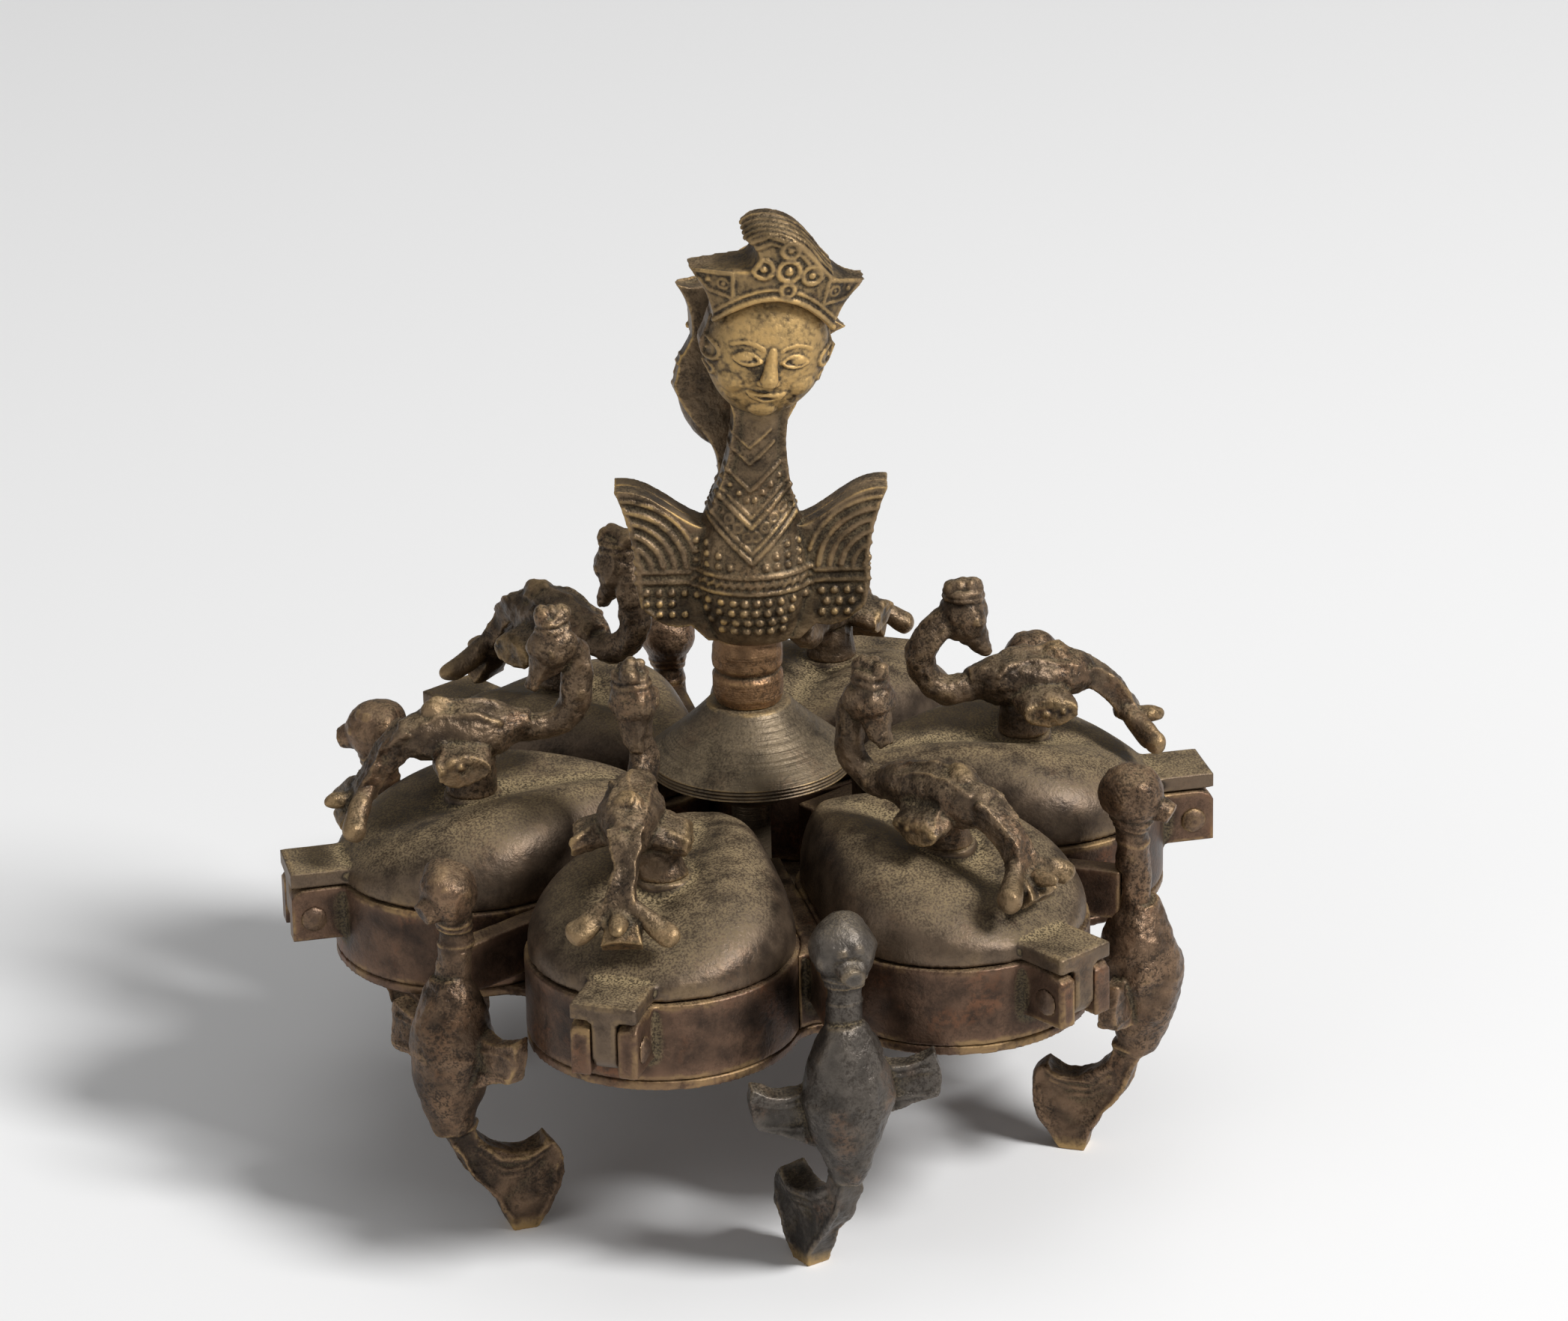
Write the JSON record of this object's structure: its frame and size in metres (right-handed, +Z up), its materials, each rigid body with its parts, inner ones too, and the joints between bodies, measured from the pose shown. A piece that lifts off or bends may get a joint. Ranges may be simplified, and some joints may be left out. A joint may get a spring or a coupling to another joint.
{
  "type": "six-lobed lidded powder box",
  "caption": "Flower-shaped bronze powder box on bird legs, with domed bird lids on hinges and a screw-down handle of two winged figures.",
  "frame": {"origin": "on the surface it stands on, below the centre post", "axes": "+Z up along the post; +X through the hinge of lid 1; -Y faces the camera's side, turned 12.5 degrees"},
  "size_m": [0.1204, 0.1136, 0.1249],
  "materials": {
    "box_bronze": "dark brown cast bronze with worn brassy edges and copper-red patches",
    "post_bronze": "turned bronze, dull",
    "handle_bronze": "cast bronze with a finely grooved rim, brown patina",
    "stem_bronze": "turned bronze with a reddish brown patina",
    "figure_bronze": "cast and chased bronze, brown patina with brassy high spots",
    "lid_bronze": "cast bronze, dark with olive dust in the valley",
    "bird_bronze": "cast bronze, brown with brassy worn tail tips",
    "pin_bronze": "bronze wire with hammered heads",
    "leg_bronze": "cast bronze, grey brown with brassy worn edges"
  },
  "bodies": {
    "box": {"base_plate": "box_bronze", "centre_post": "post_bronze", "cup_1": "box_bronze", "cup_2": "box_bronze", "cup_3": "box_bronze", "cup_4": "box_bronze", "cup_5": "box_bronze", "cup_6": "box_bronze", "web_1": "box_bronze", "web_2": "box_bronze", "web_3": "box_bronze", "web_4": "box_bronze", "web_5": "box_bronze", "web_6": "box_bronze", "leg_1": "leg_bronze", "leg_2": "leg_bronze", "leg_3": "leg_bronze", "leg_4": "leg_bronze", "leg_5": "leg_bronze", "leg_6": "leg_bronze", "hinge_pin_1": "pin_bronze", "hinge_pin_2": "pin_bronze", "hinge_pin_3": "pin_bronze", "hinge_pin_4": "pin_bronze", "hinge_pin_5": "pin_bronze", "hinge_pin_6": "pin_bronze"},
    "lid_1_body": {"lid_1": "lid_bronze", "lid_bird_1": "bird_bronze"},
    "lid_2_body": {"lid_2": "lid_bronze", "lid_bird_2": "bird_bronze"},
    "lid_3_body": {"lid_3": "lid_bronze", "lid_bird_3": "bird_bronze"},
    "lid_4_body": {"lid_4": "lid_bronze", "lid_bird_4": "bird_bronze"},
    "lid_5_body": {"lid_5": "lid_bronze", "lid_bird_5": "bird_bronze"},
    "lid_6_body": {"lid_6": "lid_bronze", "lid_bird_6": "bird_bronze"},
    "bell_body": {"bell": "handle_bronze"},
    "grip_body": {"stem": "stem_bronze", "front_figure": "figure_bronze", "rear_figure": "figure_bronze"}
  },
  "joints": [
    {"name": "lid_1_hinge", "type": "hinge", "parent": "box", "child": "lid_1_body", "pos_m": [0.0575, 0, 0.0358], "axis": [0, 1, 0], "range_deg": [0, 110]},
    {"name": "lid_2_hinge", "type": "hinge", "parent": "box", "child": "lid_2_body", "pos_m": [0.02875, 0.0498, 0.0358], "axis": [-0.866, 0.5, 0], "range_deg": [0, 110]},
    {"name": "lid_3_hinge", "type": "hinge", "parent": "box", "child": "lid_3_body", "pos_m": [-0.02875, 0.0498, 0.0358], "axis": [-0.866, -0.5, 0], "range_deg": [0, 110]},
    {"name": "lid_4_hinge", "type": "hinge", "parent": "box", "child": "lid_4_body", "pos_m": [-0.0575, 0, 0.0358], "axis": [0, -1, 0], "range_deg": [0, 110]},
    {"name": "lid_5_hinge", "type": "hinge", "parent": "box", "child": "lid_5_body", "pos_m": [-0.02875, -0.0498, 0.0358], "axis": [0.866, -0.5, 0], "range_deg": [0, 110]},
    {"name": "lid_6_hinge", "type": "hinge", "parent": "box", "child": "lid_6_body", "pos_m": [0.02875, -0.0498, 0.0358], "axis": [0.866, 0.5, 0], "range_deg": [0, 110]},
    {"name": "handle_lift", "type": "slide", "parent": "box", "child": "bell_body", "axis": [0, 0, 1], "range_m": [0, 0.00875]},
    {"name": "handle_turn", "type": "hinge", "parent": "bell_body", "child": "grip_body", "pos_m": [0, 0, 0.06], "axis": [0, 0, 1], "range_deg": [0, 1262]}
  ],
  "couplings": [
    {"joint": "handle_turn", "follows": "handle_lift", "rad_per_m": 2513.3}
  ]
}
